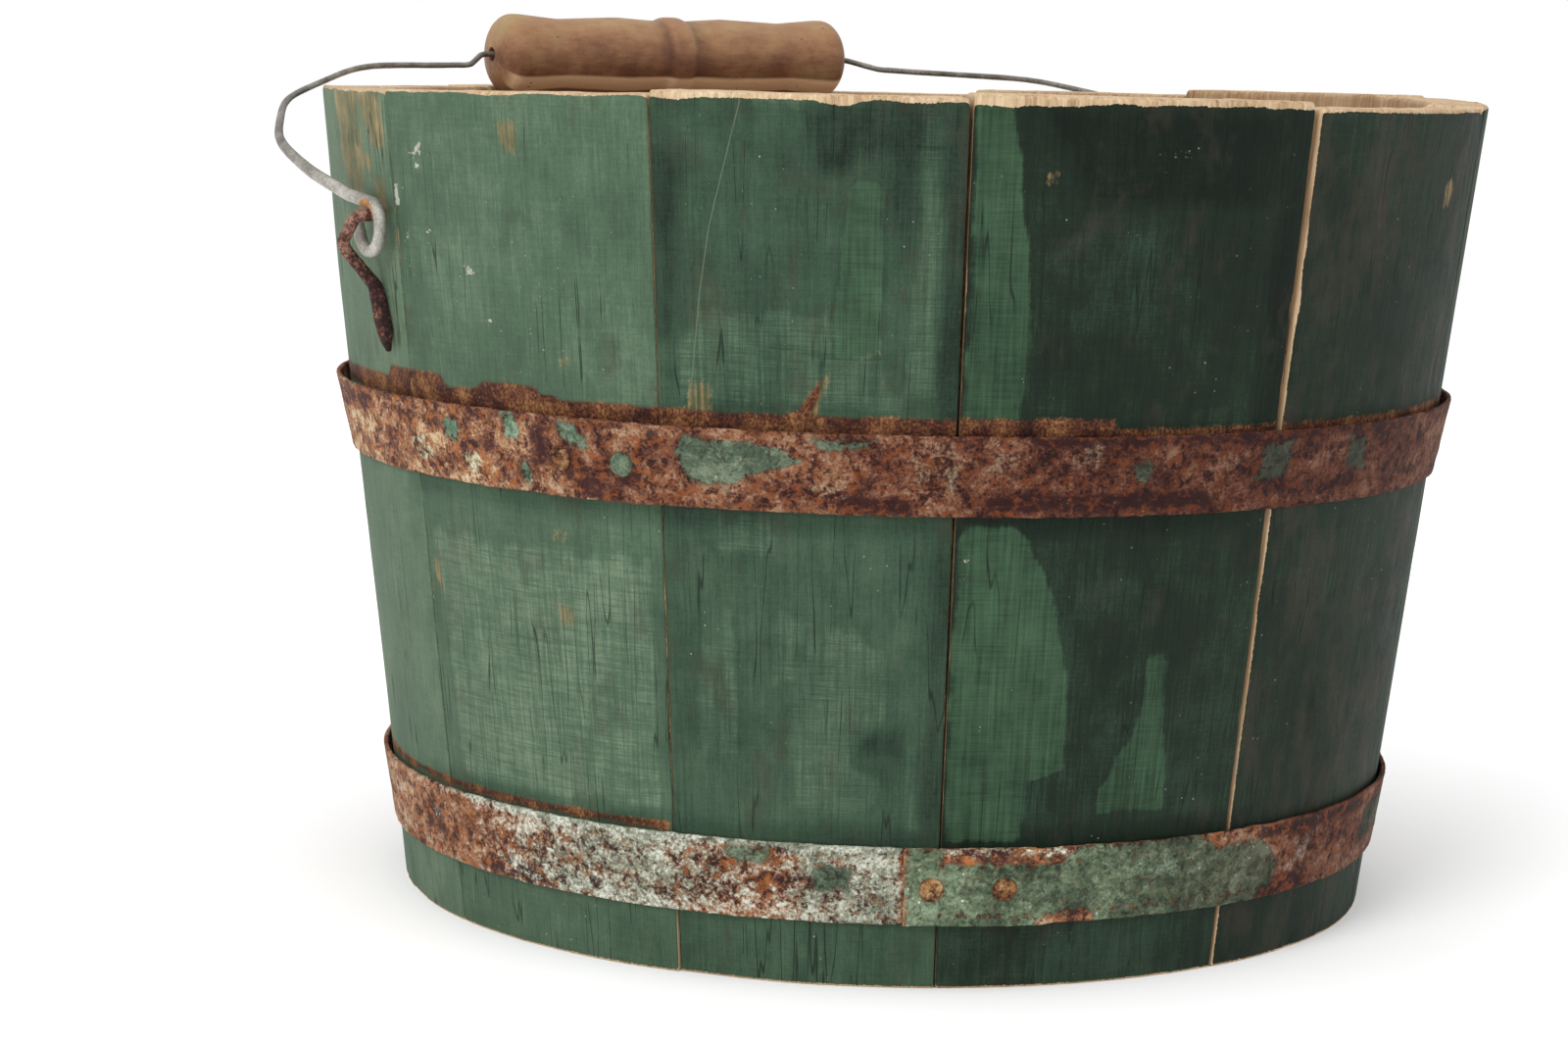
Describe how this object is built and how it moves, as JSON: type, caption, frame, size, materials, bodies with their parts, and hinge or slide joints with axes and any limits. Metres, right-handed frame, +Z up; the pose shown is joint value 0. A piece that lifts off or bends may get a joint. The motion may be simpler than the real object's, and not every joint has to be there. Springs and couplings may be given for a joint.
{
  "type": "staved wooden bucket",
  "caption": "Old green-painted staved wooden bucket with riveted iron hoops, a swinging wire bail and a turned wooden grip.",
  "frame": {"origin": "centre of the foot of the bucket, on the floor", "axes": "+Z up, X along the line the bail turns about, +Y towards the side where the bail lies back"},
  "size_m": [0.315, 0.3037, 0.2261],
  "materials": {
    "painted_stave": "old worn green paint outside, bare tan wood inside and on the rim",
    "bare_board": "bare aged softwood",
    "dowel_wood": "bare hardwood",
    "rusty_hoop": "rusty strip with flakes of old paint",
    "rivet_iron": "rusty domed heads",
    "galvanised_wire": "dull grey galvanised, rust inside the eyes",
    "turned_grip": "hand-worn brown wood",
    "rusty_staple": "deeply pitted dark rust"
  },
  "bodies": {
    "bucket": {"stave_01": "painted_stave", "stave_02": "painted_stave", "stave_03": "painted_stave", "stave_04": "painted_stave", "stave_05": "painted_stave", "stave_06": "painted_stave", "stave_07": "painted_stave", "stave_08": "painted_stave", "stave_09": "painted_stave", "stave_10": "painted_stave", "stave_11": "painted_stave", "bottom_board_left": "bare_board", "bottom_board_middle": "bare_board", "bottom_board_right": "bare_board", "bottom_dowels": "dowel_wood", "upper_hoop": "rusty_hoop", "lower_hoop": "rusty_hoop", "upper_hoop_rivets": "rivet_iron", "lower_hoop_rivets": "rivet_iron", "left_bail_staple": "rusty_staple", "right_bail_staple": "rusty_staple"},
    "bail": {"bail_wire": "galvanised_wire"},
    "grip": {"grip": "turned_grip"}
  },
  "joints": [
    {"name": "bail_swing", "type": "hinge", "parent": "bucket", "child": "bail", "pos_m": [0, 0, 0.1765], "axis": [1, 0, 0], "range_deg": [0, 140]},
    {"name": "grip_spin", "type": "hinge", "parent": "bail", "child": "grip", "pos_m": [-0.005, 0.11674, 0.2144], "axis": [1, 0, 0], "continuous": true}
  ]
}
